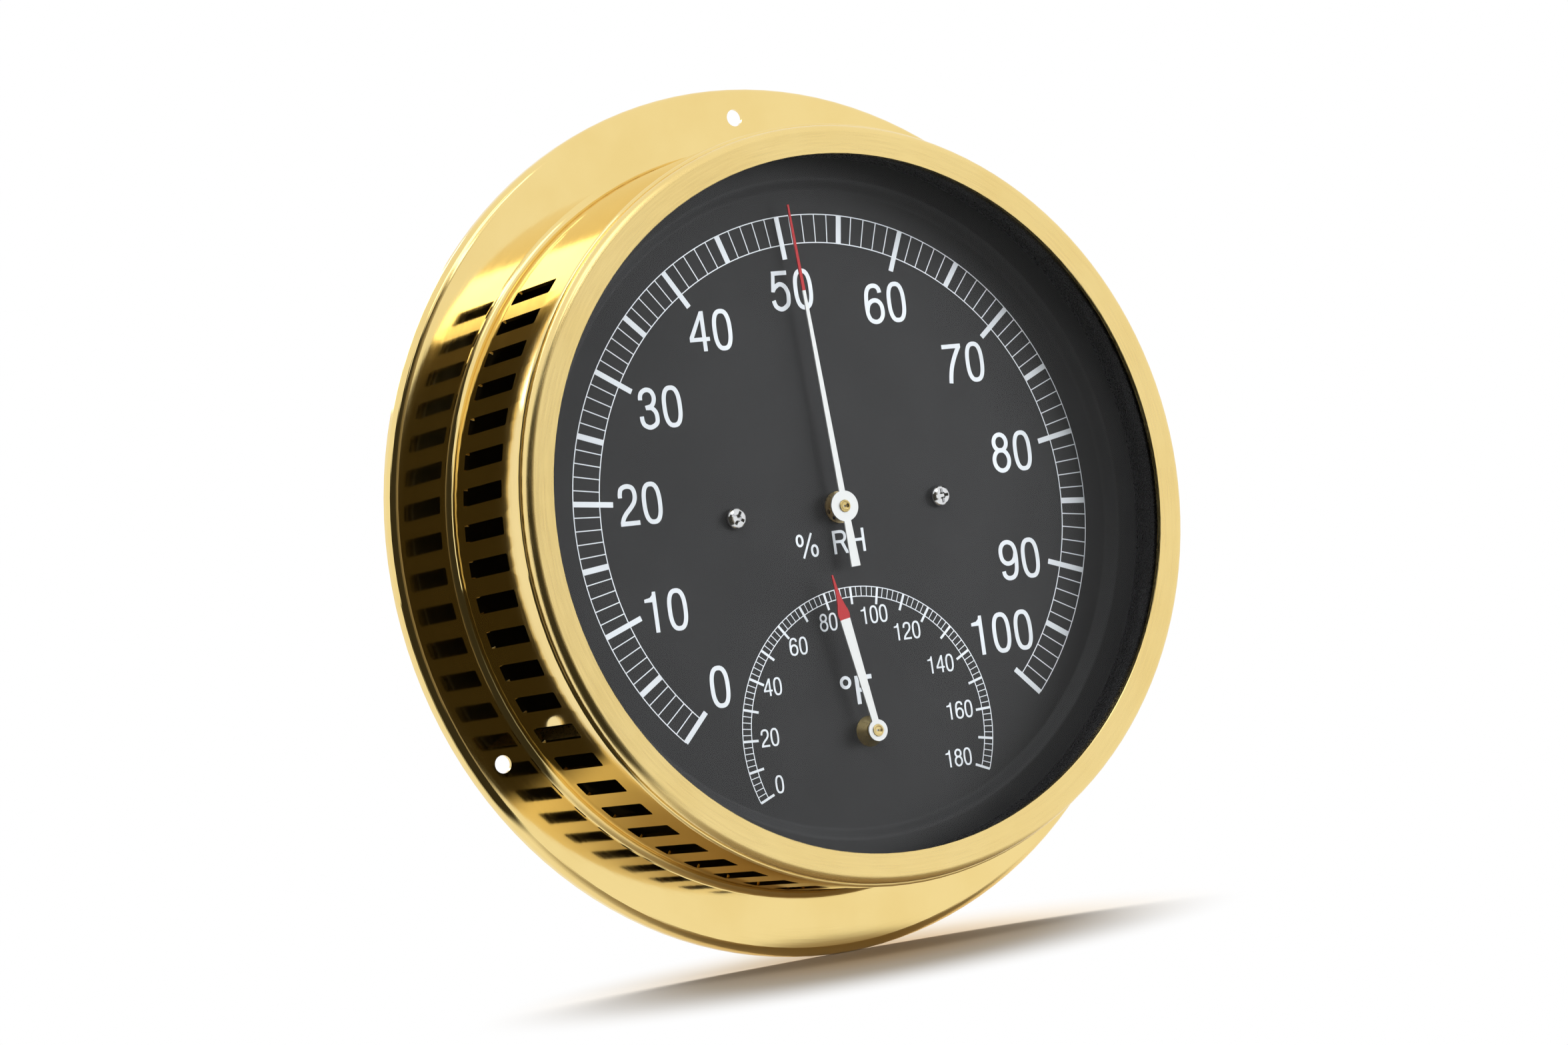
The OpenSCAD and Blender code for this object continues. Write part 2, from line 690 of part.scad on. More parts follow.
module adjuster_bracket() color("silver") upright() difference() {
    union() {
        translate([leg_x - foot_w / 2, tab_low, plate_top])
            cube([foot_w, tab_top - tab_low, tab_t]);
        for (y = [tab_low, tab_top - tab_t]) translate([adjust_x - anchor_w, y, plate_top])
            cube([tab_w, tab_t, tab_l]);
    }
    at_adjuster() hole(adjust_r + run_fit, tab_low, tab_top);
    for (y = foot_screw_places) translate([leg_x, y, 0])
        hole(foot_screw_r + seat_fit, plate_top, plate_top + tab_t);
}

module adjuster_screws() color("silver") upright() for (y = foot_screw_places)
    translate([leg_x, y, plate_back]) mirror([0, 0, 1]) difference() {
        union() {
            domed_head(foot_head_r, foot_head_t);
            rod(foot_screw_r, -plate_t - tab_t, 0);
        }
        translate([0, 0, foot_head_t]) slot_cut(foot_head_r, foot_head_t / 2);
    }

module calibration_screw() color("gold") upright() at_adjuster() difference() {
    union() {
        rod(adjust_r, tab_low - air - past, tab_top + air + adjust_collar_t);
        rod(adjust_collar_r, tab_top + air, tab_top + air + adjust_collar_t);
        rod(adjust_head_r, adjust_low, adjust_low + adjust_head_t);
    }
    translate([-adjust_head_r - past, -adjust_slot_w / 2, adjust_low - past])
        cube([2 * (adjust_head_r + past), adjust_slot_w, past + adjust_slot_depth]);
}

// Thermometer

module thermometer_bush() color("goldenrod") upright() at_thermometer() difference() {
    union() {
        translate([0, 0, dial_face])
            cylinder(r1 = cone_base_r, r2 = cone_top_r, h = cone_h, $fn = small);
        rod(thermo_barrel_r, dial_back - leaf_t - nut_t, dial_face);
    }
    hole(thermo_arbor_r + run_fit, dial_back - leaf_t - nut_t, dial_face + cone_h);
}

module thermometer_arbor() color("silver") upright() at_thermometer() {
    rod(thermo_pivot_r, bracket_back - pivot_out, bracket_back + leaf_t + end_shake);
    rod(thermo_arbor_r, bracket_back + leaf_t + end_shake, thermo_h);
    rod(coil_clamp_r, coil_h - coil_clamp_over, coil_h + strip_w + coil_clamp_over);
}

module thermometer_collet() color("gold") upright() at_thermometer()
    hub_pin(thermo_arbor_r, thermo_shoulder_r, dial_face + cone_h + air, thermo_h,
        thermo_h + pointer_t + thermo_rivet_out);

// Half width of the thermometer pointer at a share of its length
spade = [[0, 0.85], [0.715, 1.4], [0.745, 1.62], [0.77, 1.5], [0.80, 1.1], [0.84, 0.72],
    [0.90, 0.42], [1, 0.2]];
module thermometer_pointer() color("white") upright() at_thermometer()
    translate([0, 0, thermo_h]) rotate(-thermo_rest) linear_extrude(pointer_t) difference() {
        union() {
            circle(thermo_hub_r, $fn = small);
            polygon(concat([for (s = spade) [s[1], s[0] * thermo_l]],
                [for (s = reversed(spade)) [-s[1], s[0] * thermo_l]]));
        }
        circle(rivet_r, $fn = small);
    }

module bimetal_coil() color("peru") upright() at_thermometer() translate([0, 0, coil_h])
    linear_extrude(strip_w) {
        spiral_strip(coil_clamp_r + coil_gap, coil_r, coil_turns, strip_t);
        translate([coil_r - strip_t, -strip_t]) square([bracket_x - coil_r + strip_t, strip_t]);
    }

// Leaf of the bracket: a round end of diameter d, and a strip out to the web
module bracket_leaf(d) {
    circle(d = d, $fn = small);
    translate([0, -leaf_w / 2]) square([bracket_x + leaf_t, leaf_w]);
}

module bimetal_bracket() color("silver") upright() at_thermometer() difference() {
    union() {
        translate([0, 0, dial_back - leaf_t]) linear_extrude(leaf_t) bracket_leaf(front_leaf_end);
        translate([0, 0, bracket_back]) linear_extrude(leaf_t) bracket_leaf(leaf_w);
        translate([bracket_x, -leaf_w / 2, bracket_back]) cube([leaf_t, leaf_w, bracket_depth]);
    }
    hole(thermo_barrel_r + seat_fit, dial_back - leaf_t, dial_back);
    hole(thermo_pivot_r + run_fit, bracket_back, bracket_back + leaf_t);
}

case_shell();
dial_lugs();
rear_cover();
rear_cover_screws();
bezel();
front_glass();
gasket();
dial_plate();
dial_screws();
pillars();
movement_plate();
plate_screws();
pointer_bush();
thermometer_bush();
bush_nuts();
pointer_arbor();
pointer_collet();
humidity_pointer();
hairspring_collet();
hairspring();
hairspring_stud();
sector_post();
sector_clip();
sector_lever();
stop_pins();
hair_hook();
hair_bundle();
hair_anchor();
adjuster_bracket();
adjuster_screws();
calibration_screw();
thermometer_arbor();
thermometer_collet();
thermometer_pointer();
bimetal_coil();
bimetal_bracket();
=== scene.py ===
import math

import bpy
from mathutils import Matrix, Vector
from mathutils.geometry import delaunay_2d_cdt

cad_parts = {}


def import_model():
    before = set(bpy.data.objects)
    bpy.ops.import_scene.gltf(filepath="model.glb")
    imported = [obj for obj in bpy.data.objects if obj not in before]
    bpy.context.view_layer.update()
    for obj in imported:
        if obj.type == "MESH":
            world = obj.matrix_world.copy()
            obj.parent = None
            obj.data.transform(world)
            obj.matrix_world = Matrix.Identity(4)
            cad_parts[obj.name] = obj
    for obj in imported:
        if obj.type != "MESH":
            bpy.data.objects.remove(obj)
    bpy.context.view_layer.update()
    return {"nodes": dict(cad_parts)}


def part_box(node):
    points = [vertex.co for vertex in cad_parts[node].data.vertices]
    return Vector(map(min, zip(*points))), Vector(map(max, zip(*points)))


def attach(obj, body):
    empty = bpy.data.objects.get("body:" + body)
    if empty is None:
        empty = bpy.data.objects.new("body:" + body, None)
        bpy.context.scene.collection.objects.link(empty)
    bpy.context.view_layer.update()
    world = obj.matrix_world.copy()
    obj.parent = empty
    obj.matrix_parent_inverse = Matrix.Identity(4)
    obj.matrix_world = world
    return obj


# Materials, dial print and studio for a wall hygrometer with a small thermometer in its dial

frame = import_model()
NODES = frame["nodes"]
SCENE = bpy.context.scene

# The frame is in metres: X to the right as seen from the front, Y into the wall and Z up, with
# the wall at y = 0. The print on the dial is drawn in mm, as x and z.
MM = 0.001

# The height of the dial's screw heads, how far the dial's face stands off the wall, and how far the
# thermometer's axis lies below the dial's, in mm
SCREW_HEAD = 1.7
DIAL_FACE = -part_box("dial_screws")[0].y / MM - SCREW_HEAD
THERMO_DROP = 54.7

# Where the axes of the two pointers stand, as x and z in metres
DIAL_AXIS = (0.0, 0.0)
THERMO_AXIS = (0.0, -THERMO_DROP * MM)


# Materials

BLACK = (0, 0, 0)
WHITE = (1, 1, 1)
BRASS = (0.89, 0.69, 0.29)
POINTER_WHITE = (0.78, 0.79, 0.79)
POINTER_RED = (0.45, 0.035, 0.04)

# Heights of a bump of full strength, in metres
FINE = 0.00002
COARSE = 0.00003
DEEP = 0.00005

# The levels that most of a noise pattern lies between
LEVELS = (0.3, 0.7)

# How far the edge of a pointer's red end wanders, and how soft it is, in metres
RED_WANDER = 0.0001
RED_SOFT = 0.00005


def rgba(colour):
    return (*colour, 1.0)


def toned(colour, shares):
    """A colour with each channel times its share."""
    return tuple(channel * share for channel, share in zip(colour, shares))


class Nodes:
    """The nodes of one material or world, with short calls that add and link them."""

    def __init__(self, owner, output="ShaderNodeOutputMaterial"):
        owner.use_nodes = True
        self.owner = owner
        self.tree = owner.node_tree
        self.tree.nodes.clear()
        self.out = self.put(output).inputs[0]

    def put(self, kind, **settings):
        node = self.tree.nodes.new(kind)
        for key, value in settings.items():
            setattr(node, key, value)
        return node

    def link(self, value, socket):
        """Feeds a socket from another node, or sets it to a plain value. None leaves it alone."""
        if isinstance(value, bpy.types.NodeSocket):
            self.tree.links.new(value, socket)
        elif value is not None:
            socket.default_value = value

    def calc(self, operation, a, b=None, clamp=False):
        node = self.put("ShaderNodeMath", operation=operation, use_clamp=clamp)
        self.link(a, node.inputs[0])
        self.link(b, node.inputs[1])
        return node.outputs[0]

    def ramp(self, value, low, high, to_low=0.0, to_high=1.0, smooth=True):
        """Goes from to_low to to_high as value goes from low to high."""
        node = self.put("ShaderNodeMapRange")
        node.interpolation_type = "SMOOTHSTEP" if smooth else "LINEAR"
        self.link(value, node.inputs["Value"])
        self.link(low, node.inputs["From Min"])
        self.link(high, node.inputs["From Max"])
        self.link(to_low, node.inputs["To Min"])
        self.link(to_high, node.inputs["To Max"])
        return node.outputs[0]

    def mix(self, factor, a, b):
        """Colour a at factor 0 and b at 1, by the sockets of the Mix node that are for colours."""
        node = self.put("ShaderNodeMix", data_type="RGBA")
        self.link(factor, node.inputs[0])
        self.link(a, node.inputs[6])
        self.link(b, node.inputs[7])
        return node.outputs[2]

    def mix_shader(self, factor, a, b):
        node = self.put("ShaderNodeMixShader")
        self.link(factor, node.inputs[0])
        self.link(a, node.inputs[1])
        self.link(b, node.inputs[2])
        return node.outputs[0]

    def noise(self, vector, scale, detail=2.0, rough=0.5):
        node = self.put("ShaderNodeTexNoise")
        self.link(vector, node.inputs["Vector"])
        self.link(scale, node.inputs["Scale"])
        self.link(detail, node.inputs["Detail"])
        self.link(rough, node.inputs["Roughness"])
        return node.outputs["Fac"]

    def join(self, x, y, z):
        node = self.put("ShaderNodeCombineXYZ")
        self.link(x, node.inputs[0])
        self.link(y, node.inputs[1])
        self.link(z, node.inputs[2])
        return node.outputs[0]

    def stretched(self, x, y, z, scales):
        """Coordinates with x, y and z each times its scale."""
        return self.join(*(self.calc("MULTIPLY", part, scale) for part, scale in zip((x, y, z), scales)))

    def length(self, vector):
        node = self.put("ShaderNodeVectorMath", operation="LENGTH")
        self.link(vector, node.inputs[0])
        return node.outputs["Value"]

    def towards(self, vector, turn):
        """How far a vector reaches in the level direction that lies turn radians from +X."""
        node = self.put("ShaderNodeVectorMath", operation="DOT_PRODUCT")
        self.link(vector, node.inputs[0])
        self.link((math.cos(turn), math.sin(turn), 0), node.inputs[1])
        return node.outputs["Value"]

    def place(self):
        """The place on the piece in metres, which rides with it: as a vector, and as x, y and z."""
        coord = self.put("ShaderNodeTexCoord")
        split = self.put("ShaderNodeSeparateXYZ")
        self.link(coord.outputs["Object"], split.inputs[0])
        return coord.outputs["Object"], split.outputs

    def round_axis(self, axis):
        """The place as a vector, x, y and z with x and z taken from an axis along Y, and the radius."""
        vector, (x, y, z) = self.place()
        x = self.calc("SUBTRACT", x, axis[0])
        z = self.calc("SUBTRACT", z, axis[1])
        return vector, x, y, z, self.length(self.join(x, 0.0, z))

    def bump(self, height, strength, distance):
        node = self.put("ShaderNodeBump")
        self.link(height, node.inputs["Height"])
        self.link(strength, node.inputs["Strength"])
        self.link(distance, node.inputs["Distance"])
        return node.outputs[0]


class Surface(Nodes):
    """A new material with one Principled shader, which the nodes feed."""

    def __init__(self, name):
        super().__init__(bpy.data.materials.new(name))
        self.shader = self.put("ShaderNodeBsdfPrincipled")
        self.link(self.shader.outputs[0], self.out)

    def feed(self, value, socket):
        self.link(value, self.shader.inputs[socket])

    def colour(self, factor, a, b):
        """The base colour: a at factor 0 and b at 1."""
        self.feed(self.mix(factor, rgba(a), rgba(b)), "Base Color")

    def relief(self, pattern, smoothest, roughest, strength, distance=FINE):
        """Roughness and bump that follow one pattern."""
        self.feed(self.ramp(pattern, *LEVELS, smoothest, roughest), "Roughness")
        self.feed(self.bump(pattern, strength, distance), "Normal")


def brass(name, colour, rough, depth, axis=DIAL_AXIS, across=2200.0, along=9.0, coat=0.0):
    """Brass turned on a lathe: fine marks run round the axis, and the tone wanders slightly.

    across and along are the scale of the marks, per metre off the axis and per radian round it."""
    look = Surface(name)
    vector, x, y, z, radius = look.round_axis(axis)
    turn = look.calc("ARCTAN2", look.calc("MULTIPLY", z, -1.0), look.calc("MULTIPLY", x, -1.0))
    lathe = look.stretched(radius, y, turn, (across, across, along))
    marks = look.noise(lathe, scale=1.0, detail=3.0, rough=0.6)
    cloud = look.noise(vector, scale=45.0, detail=3.0, rough=0.55)
    look.colour(look.ramp(cloud, 0.35, 0.7), colour, toned(colour, (0.97, 0.95, 0.9)))
    look.feed(look.ramp(marks, 0.3, 0.75, rough * 0.75, rough * 1.35, smooth=False), "Roughness")
    look.feed(look.bump(marks, depth, FINE), "Normal")
    look.feed(1.0, "Metallic")
    look.feed(coat, "Coat Weight")
    look.feed(0.08, "Coat Roughness")
    return look.owner


def metal(name, colour, rough, grain, depth=0.15):
    """Plain turned, stamped or plated metal with a fine grain."""
    look = Surface(name)
    vector, _ = look.place()
    fine = look.noise(vector, grain, detail=3.0, rough=0.6)
    cloud = look.noise(vector, scale=120.0)
    look.colour(cloud, toned(colour, (0.86, 0.86, 0.86)), colour)
    look.relief(fine, rough * 0.7, rough * 1.3, depth)
    look.feed(1.0, "Metallic")
    return look.owner


def paint(name, colour, rough, grain, depth, shine=0.5):
    """Sprayed paint with a fine even texture."""
    look = Surface(name)
    vector, _ = look.place()
    fine = look.noise(vector, grain, rough=0.6)
    cloud = look.noise(vector, scale=60.0)
    look.colour(look.ramp(cloud, *LEVELS), toned(colour, (0.9, 0.9, 0.9)), colour)
    look.relief(fine, rough * 0.85, rough * 1.15, depth, COARSE)
    look.feed(shine, "Specular IOR Level")
    return look.owner


def pointer_paint(name, axis, red_from):
    """Satin white paint. The arm that points up at rest is red from red_from metres off its arbor."""
    look = Surface(name)
    vector, _, _, z, radius = look.round_axis(axis)
    wander = look.calc("MULTIPLY", look.noise(vector, scale=3000.0), RED_WANDER)
    beyond = look.ramp(look.calc("ADD", radius, wander), red_from, red_from + RED_SOFT)
    upper = look.calc("GREATER_THAN", z, 0.0)
    look.colour(look.calc("MULTIPLY", beyond, upper), POINTER_WHITE, POINTER_RED)
    look.relief(look.noise(vector, scale=2500.0), smoothest=0.34, roughest=0.5, strength=0.12)
    return look.owner


def clear_glass(name):
    """Clear pane: its front faces mirror a little, and the rest goes through."""
    look = Nodes(bpy.data.materials.new(name))
    through = look.put("ShaderNodeBsdfTransparent")
    look.link(rgba((0.985, 0.99, 0.99)), through.inputs["Color"])
    vector, _ = look.place()
    haze = look.noise(vector, scale=30.0)
    mirror = look.put("ShaderNodeBsdfGlossy")
    look.link(rgba(WHITE), mirror.inputs["Color"])
    look.link(look.ramp(haze, *LEVELS, to_low=0.01, to_high=0.03), mirror.inputs["Roughness"])
    fresnel = look.put("ShaderNodeFresnel")
    look.link(1.22, fresnel.inputs["IOR"])
    back = look.put("ShaderNodeNewGeometry").outputs["Backfacing"]
    share = look.calc("MULTIPLY", fresnel.outputs[0], look.calc("SUBTRACT", 1.0, back))
    look.link(look.mix_shader(share, through.outputs[0], mirror.outputs[0]), look.out)
    return look.owner


def rubber(name):
    """Smooth black rubber with a low shine."""
    look = Surface(name)
    vector, _ = look.place()
    fine = look.noise(vector, scale=1800.0)
    look.colour(fine, (0.006, 0.006, 0.007), (0.011, 0.011, 0.012))
    look.relief(fine, smoothest=0.22, roughest=0.32, strength=0.1, distance=COARSE)
    look.feed(0.3, "Specular IOR Level")
    return look.owner


def hair_look(name):
    """Brown hair: thin streaks run along the strands, which stand upright."""
    look = Surface(name)
    _, (x, y, z) = look.place()
    streak = look.noise(look.stretched(x, y, z, (9000.0, 9000.0, 150.0)), scale=1.0, detail=3.0)
    look.colour(streak, (0.07, 0.035, 0.015), (0.3, 0.19, 0.09))
    look.relief(streak, smoothest=0.3, roughest=0.5, strength=0.4, distance=DEEP)
    return look.owner


def bimetal_look(name):
    """Rolled strip of two metals: fine streaks of a browner and a paler tone run along it."""
    look = Surface(name)
    _, (x, y, z) = look.place()
    roll = look.noise(look.stretched(x, y, z, (60.0, 6000.0, 60.0)), scale=1.0, detail=3.0)
    look.colour(roll, (0.42, 0.33, 0.24), (0.6, 0.52, 0.42))
    look.relief(roll, smoothest=0.22, roughest=0.38, strength=0.2)
    look.feed(1.0, "Metallic")
    return look.owner


looks = {
    "case_brass": brass("case_brass", BRASS, rough=0.07, depth=0.06),
    "bezel_brass": brass("bezel_brass", BRASS, rough=0.24, depth=0.035, coat=0.1),
    "fitting_brass": metal("fitting_brass", (0.8, 0.61, 0.25), rough=0.22, grain=2500.0),
    "satin_brass": metal("satin_brass", (0.88, 0.71, 0.4), rough=0.36, grain=2000.0),
    "lug_brass": metal("lug_brass", (0.74, 0.55, 0.22), rough=0.35, grain=1800.0),
    "thermometer_brass": brass("thermometer_brass", (0.88, 0.7, 0.33), rough=0.34, depth=0.12,
                               axis=THERMO_AXIS, across=5000.0, along=3.0),
    "steel": metal("steel", (0.56, 0.56, 0.55), rough=0.28, grain=2200.0),
    "blued_steel": metal("blued_steel", (0.16, 0.2, 0.3), rough=0.2, grain=2500.0),
    "chrome": metal("chrome", (0.82, 0.82, 0.83), rough=0.09, grain=1500.0, depth=0.06),
    "glass": clear_glass("glass"),
    "rubber": rubber("rubber"),
    "dial_black": paint("dial_black", (0.035, 0.035, 0.0365), rough=0.5, grain=3500.0, depth=0.25,
                        shine=0.22),
    "print_white": paint("print_white", (0.84, 0.88, 0.93), rough=0.5, grain=3000.0, depth=0.1),
    "pointer_white": pointer_paint("pointer_white", DIAL_AXIS, red_from=0.0531),
    "thermometer_white": pointer_paint("thermometer_white", THERMO_AXIS, red_from=0.028),
    "hair": hair_look("hair"),
    "bimetal": bimetal_look("bimetal"),
}
node_looks = {
    "case_brass": ["case_shell", "rear_cover"],
    "bezel_brass": ["bezel"],
    "lug_brass": ["dial_lugs"],
    "satin_brass": ["pointer_bush"],
    "fitting_brass": ["pillars", "bush_nuts", "pointer_collet", "hairspring_collet",
                      "hairspring_stud", "sector_lever", "hair_hook", "hair_anchor",
                      "calibration_screw"],
    "thermometer_brass": ["thermometer_bush", "thermometer_collet"],
    "steel": ["rear_cover_screws", "movement_plate", "plate_screws", "pointer_arbor", "sector_post",
              "sector_clip", "stop_pins", "adjuster_bracket", "adjuster_screws",
              "thermometer_arbor", "bimetal_bracket"],
    "blued_steel": ["hairspring"],
    "chrome": ["dial_screws"],
    "glass": ["front_glass"],
    "rubber": ["gasket"],
    "dial_black": ["dial_plate"],
    "pointer_white": ["humidity_pointer"],
    "thermometer_white": ["thermometer_pointer"],
    "hair": ["hair_bundle"],
    "bimetal": ["bimetal_coil"],
}
for look, nodes in node_looks.items():
    for node in nodes:
        for slot in NODES[node].material_slots:
            slot.material = looks[look]


# Shapes for the print: each is a list of flat faces, and a face is a list of points

# How many points a curve gets for each one given, and the cosine at which a mitre stops growing
CURVE_STEPS = 6
MITRE_LIMIT = 0.4


def smooth(points):
    """Catmull-Rom curve through the points."""
    last = len(points) - 1
    out = []
    for i in range(last):
        near = [points[min(max(i + k - 1, 0), last)] for k in range(4)]
        for step in range(CURVE_STEPS):
            t = step / CURVE_STEPS
            out.append(tuple(
                0.5 * (2 * b + (c - a) * t + (2 * a - 5 * b + 4 * c - d) * t * t
                       + (3 * b - a - 3 * c + d) * t ** 3)
                for a, b, c, d in zip(*near)))
    out.append(points[-1])
    return out


def oval(x, y, half_x, half_y, power=2.0, steps=40):
    """Points of an oval round x, y. It is an ellipse at power 2 and squarer above."""
    out = []
    for i in range(steps):
        turn = 2 * math.pi * i / steps
        across, up = math.cos(turn), math.sin(turn)
        out.append((x + half_x * math.copysign(abs(across) ** (2 / power), across),
                    y + half_y * math.copysign(abs(up) ** (2 / power), up)))
    return out


def ribbon(points, width, closed=False):
    """Four-cornered faces along a line of points, mitred where it bends."""
    line = [Vector(p) for p in points]
    count = len(line)
    runs = [(line[(i + 1) % count] - line[i]).normalized() for i in range(count)]
    left, right = [], []
    for i, point in enumerate(line):
        before = runs[i - 1] if closed or i else runs[0]
        after = runs[i] if closed or i < count - 1 else before
        along = (before + after).normalized()
        side = Vector((-along.y, along.x)) * (width / 2 / max(MITRE_LIMIT, along.dot(before)))
        left.append(tuple(point + side))
        right.append(tuple(point - side))
    ends = [(i, (i + 1) % count) for i in range(count if closed else count - 1)]
    return [[left[i], right[i], right[j], left[j]] for i, j in ends]


def block(x0, y0, x1, y1):
    return [[(x0, y0), (x1, y0), (x1, y1), (x0, y1)]]


def clock(radius, turn):
    """A point at a radius, turn degrees clockwise from 12 o'clock."""
    angle = math.radians(turn)
    return (radius * math.sin(angle), radius * math.cos(angle))


def tick(inner, outer, turn, width):
    """A mark from the inner to the outer radius."""
    side = Vector(clock(1, turn + 90)) * width / 2
    a = Vector(clock(inner, turn))
    b = Vector(clock(outer, turn))
    return [[tuple(a - side), tuple(b - side), tuple(b + side), tuple(a + side)]]


def ring(radius, width, start, end, steps):
    """A line round the middle from one turn to another."""
    inner, outer = radius - width / 2, radius + width / 2
    turns = [start + (end - start) * i / steps for i in range(steps + 1)]
    return [[clock(inner, a), clock(outer, a), clock(outer, b), clock(inner, b)]
            for a, b in zip(turns, turns[1:])]


# Characters on a grid where a capital is 100 high and x = 0 is the middle of its cell
CAPITAL = 100
PEN = 11.3
THIN_PEN = 10
SIX = [(19.5, 77), (18, 86), (11.5, 93.5), (1, 96), (-11, 92), (-19, 79), (-22.5, 54), (-22.2, 28),
       (-17.5, 13), (-9.5, 6), (1, 3.5), (12, 7), (20, 17), (22.5, 31), (20, 46), (12, 55.5),
       (1.5, 58.5), (-10, 55), (-18, 46), (-22, 33)]
NINE = [(-x, CAPITAL - y) for x, y in SIX]
GLYPHS = {
    "0": ribbon(oval(0, 50, 21.6, 46.4, power=2.55), PEN, closed=True),
    "1": [[(0, 0), (11, 0), (11, 100), (2, 100), (0.5, 92), (-6, 86), (-21.5, 83), (-21.5, 75),
           (0, 75)]],
    "2": ribbon(smooth([(-19.3, 69), (-19, 78), (-14, 91), (1, 96.3), (16, 91), (21.3, 75), (18, 58),
                        (7, 44), (-8, 30), (-18, 16), (-20.6, 3)]), PEN)
    + block(-26.5, 0, 27, PEN),
    "3": ribbon(smooth([(-19.5, 72), (-18.5, 82), (-12.5, 91.5), (0, 96.3), (12.5, 91.5), (18.5, 78),
                        (16, 64), (8, 55), (-7.5, 51.8)]), PEN)
    + ribbon(smooth([(-2, 51.8), (9, 50.5), (18.5, 41), (21.5, 27), (18, 12), (1, 3.6), (-14, 9),
                     (-20, 19), (-21, 32)]), PEN),
    "4": block(7.2, 0, 18, 100) + block(-28.5, 25, 28, 35)
    + [[(7.5, 100), (18, 100), (7.2, 80), (-16.5, 35), (-28.5, 25), (-28.5, 36)]],
    "5": block(-20, 89, 24, 100) + ribbon([(-15.2, 92), (-21.3, 47.5)], THIN_PEN)
    + ribbon(smooth([(-21.3, 51), (-14, 59.5), (0, 66.5), (13, 60.5), (20.5, 46), (21.3, 32),
                     (17, 14), (-1, 3.6), (-17, 11), (-22.5, 26.5)]), PEN),
    "6": ribbon(smooth(SIX), PEN),
    "7": block(-28, 89, 28.5, 100)
    + ribbon(smooth([(22.6, 92), (9, 70), (-3, 45), (-9.5, 22), (-12.8, 0)]), width=11.8),
    "8": ribbon(oval(0.8, 76, 18.8, 20.5), PEN, closed=True)
    + ribbon(oval(0, 30, 22.3, 26.4), PEN, closed=True),
    "9": ribbon(smooth(NINE), PEN),
    "%": ribbon(oval(-34, 74, 14, 22, power=2.2, steps=28), THIN_PEN, closed=True)
    + ribbon(oval(34, 26, 14, 22, power=2.2, steps=28), THIN_PEN, closed=True)
    + ribbon([(-24, -2), (26, 102)], width=9.5),
    "R": block(-33, 0, -20, 100)
    + ribbon(smooth([(-22, 94), (10, 94), (24, 87), (28, 73.5), (24, 60), (10, 52.5), (-22, 52.5)]),
             width=12.5)
    + [[(2, 50), (18, 50), (40, 0), (24.5, 0)]],
    "H": block(-33, 0, -20, 100) + block(20, 0, 33, 100) + block(-22, 46, 22, 58.5),
    "F": block(-35, 0, -19, 100) + block(-35, 84, 35, 100) + block(-35, 42, 22, 57),
}


def write(text, middle, height, pitch=1.0):
    """Faces for a line of text round middle, with capitals of a height and pitch from cell to cell."""
    scale = height / CAPITAL
    start = middle[0] - pitch * (len(text) - 1) / 2
    out = []
    for i, character in enumerate(text):
        for face in GLYPHS[character]:
            out.append([(start + i * pitch + x * scale, middle[1] + (y - CAPITAL / 2) * scale)
                        for x, y in face])
    return out


# Print on the dial: six flat layers

PRINT_THICK = 0.03

# What Blender's triangulation keeps, and how near two points are when it joins them, in mm
INSIDE_ONLY = 1
SAME_POINT = 1e-5

# Radii and line widths of the two scales. A line runs round the outer and the inner ends of the
# small marks, and the marks at the tens reach further in.
HUMIDITY_OUTER = 71.9
HUMIDITY_INNER = 64.95
HUMIDITY_TEN = 61.4
HUMIDITY_END = 62.8
HUMIDITY_LINE = 0.25
HUMIDITY_BOLD = 1.3
HUMIDITY_FIVE = 1.4
THERMO_OUTER = 35.2
THERMO_INNER = 32.8
THERMO_TEN = 31.0
THERMO_LINE = 0.22
THERMO_THIN = 0.2
THERMO_BOLD = 0.6

# The highest readings, and degrees clockwise from 12 o'clock: those of the humidity scale's 0, 10, 20
# and so on, which are unevenly spaced, and where the thermometer scale starts and how far it goes
HUMIDITY_TOP = 100
HUMIDITY_TURNS = [-135.4, -109.8, -84.0, -58.0, -33.1, -4.9, 23.3, 51.5, 79.8, 108.2, 135.4]
THERMO_START = -112.1
THERMO_SPAN = 224.4
THERMO_TOP = 180

# Middles of the numbers. Those of the humidity numbers are turned anticlockwise by a small angle,
# in radians.
HUMIDITY_PLACES = {
    "0": (-40.1, -38.4), "10": (-51.4, -18.75), "20": (-53.75, 7), "30": (-44.4, 29.1),
    "40": (-27.6, 46), "50": (-3.5, 53.75), "60": (22.4, 48.25), "70": (42.4, 31.4),
    "80": (52.25, 8), "90": (49.6, -18.75), "100": (40.9, -36.1)}
NUMBERS_TURN = 0.0199
THERMO_PLACES = {
    "0": (-26.9, -64.1), "20": (-27.8, -52.8), "40": (-25.1, -40.9), "60": (-16.5, -32.1),
    "80": (-7.3, -27.3), "100": (5.7, -26.8), "120": (14.4, -31.8), "140": (22.6, -40.9),
    "160": (26.2, -52.7), "180": (24.0, -64.2)}


